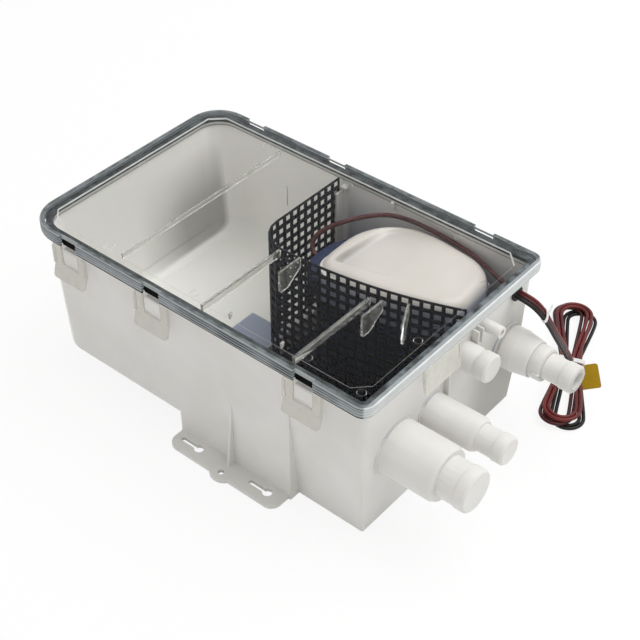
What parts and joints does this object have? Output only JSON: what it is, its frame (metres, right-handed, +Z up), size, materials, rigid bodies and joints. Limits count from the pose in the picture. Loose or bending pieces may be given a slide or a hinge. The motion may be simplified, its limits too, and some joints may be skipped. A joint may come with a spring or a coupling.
{
  "type": "shower sump pump",
  "caption": "Moulded shower sump with a clear latched lid, filter screen, float-switched pump, stepped hose ports, discharge check valve and wire lead.",
  "frame": {"origin": "under the centre of the lid, on the flat underside of the deep end", "axes": "+X along the box to the end with the ports, +Y to the back, +Z up"},
  "size_m": [0.363, 0.32, 0.1282],
  "materials": {
    "white_plastic": "moulded, semi-gloss",
    "clear_plastic": "clear moulded",
    "grey_rubber": "matt",
    "screen_plastic": "flexible sheet",
    "cover_plastic": "warm white, semi-gloss",
    "navy_plastic": "moulded, semi-gloss",
    "black_rubber": "matt",
    "steel": "brushed",
    "ferrite": "sintered",
    "bronze": "sintered bronze",
    "float_plastic": "moulded",
    "black_wire": "wire insulation",
    "brown_wire": "wire insulation",
    "red_wire": "wire insulation",
    "tie_plastic": "natural nylon",
    "tag_card": "printed card, bare"
  },
  "bodies": {
    "sump": {"sump_box": "white_plastic", "edge_trim": "grey_rubber", "filter_screen": "screen_plastic", "valve_inlet_body": "white_plastic", "valve_outlet_barb": "white_plastic", "bulkhead_seal": "black_rubber", "bulkhead_nut": "white_plastic", "discharge_sleeve": "black_rubber", "sleeve_clamps": "steel", "pump_cover": "cover_plastic", "body_seal": "black_rubber", "pump_body": "navy_plastic", "strainer_base": "navy_plastic", "motor_can": "steel", "end_plate": "navy_plastic", "brushes": "ferrite", "field_magnets": "ferrite", "lower_bearing": "bronze", "upper_bearing": "bronze", "shaft_seal": "black_rubber", "float_post": "navy_plastic", "float_switch": "navy_plastic", "pump_cable": "brown_wire", "cable_grommet": "black_rubber", "wire_hank": "black_wire", "hank_tie": "tie_plastic", "wire_tie": "tie_plastic", "wire_tag": "tag_card", "wire_black": "black_wire", "wire_brown": "brown_wire", "wire_red": "red_wire"},
    "lid": {"lid": "clear_plastic"},
    "latch_front_1": {"latch_front_1": "clear_plastic"},
    "latch_front_2": {"latch_front_2": "clear_plastic"},
    "latch_front_3": {"latch_front_3": "clear_plastic"},
    "latch_back_1": {"latch_back_1": "clear_plastic"},
    "latch_back_2": {"latch_back_2": "clear_plastic"},
    "latch_back_3": {"latch_back_3": "clear_plastic"},
    "rotor": {"impeller": "navy_plastic", "motor_shaft": "steel", "armature": "steel", "commutator": "bronze"},
    "float": {"level_float": "float_plastic"},
    "flap": {"valve_flapper": "black_rubber"}
  },
  "joints": [
    {"name": "lid_lift", "type": "slide", "parent": "sump", "child": "lid", "axis": [0, 0, 1], "range_m": [0, 0.024]},
    {"name": "latch_front_1_swing", "type": "hinge", "parent": "lid", "child": "latch_front_1", "pos_m": [-0.109, -0.0985, 0.1195], "axis": [-1, 0, 0], "range_deg": [0, 45]},
    {"name": "latch_front_2_swing", "type": "hinge", "parent": "lid", "child": "latch_front_2", "pos_m": [-0.029, -0.0985, 0.1195], "axis": [-1, 0, 0], "range_deg": [0, 45]},
    {"name": "latch_front_3_swing", "type": "hinge", "parent": "lid", "child": "latch_front_3", "pos_m": [0.103, -0.0985, 0.1195], "axis": [-1, 0, 0], "range_deg": [0, 45]},
    {"name": "latch_back_1_swing", "type": "hinge", "parent": "lid", "child": "latch_back_1", "pos_m": [-0.109, 0.0985, 0.1195], "axis": [1, 0, 0], "range_deg": [0, 45]},
    {"name": "latch_back_2_swing", "type": "hinge", "parent": "lid", "child": "latch_back_2", "pos_m": [-0.029, 0.0985, 0.1195], "axis": [1, 0, 0], "range_deg": [0, 45]},
    {"name": "latch_back_3_swing", "type": "hinge", "parent": "lid", "child": "latch_back_3", "pos_m": [0.103, 0.0985, 0.1195], "axis": [1, 0, 0], "range_deg": [0, 45]},
    {"name": "impeller_spin", "type": "hinge", "parent": "sump", "child": "rotor", "pos_m": [0.08, 0.045, 0.03], "axis": [0, 0, 1], "continuous": true},
    {"name": "float_rise", "type": "slide", "parent": "sump", "child": "float", "axis": [0, 0, 1], "range_m": [0, 0.012]},
    {"name": "flap_swing", "type": "hinge", "parent": "sump", "child": "flap", "pos_m": [0.1533, 0.0687, 0.0756], "axis": [0, -1, 0], "range_deg": [0, 50]}
  ],
  "couplings": [
    {"joint": "latch_front_1_swing", "follows": "lid_lift", "rad_per_m": 30},
    {"joint": "latch_front_2_swing", "follows": "lid_lift", "rad_per_m": 30},
    {"joint": "latch_front_3_swing", "follows": "lid_lift", "rad_per_m": 30},
    {"joint": "latch_back_1_swing", "follows": "lid_lift", "rad_per_m": 30},
    {"joint": "latch_back_2_swing", "follows": "lid_lift", "rad_per_m": 30},
    {"joint": "latch_back_3_swing", "follows": "lid_lift", "rad_per_m": 30}
  ]
}
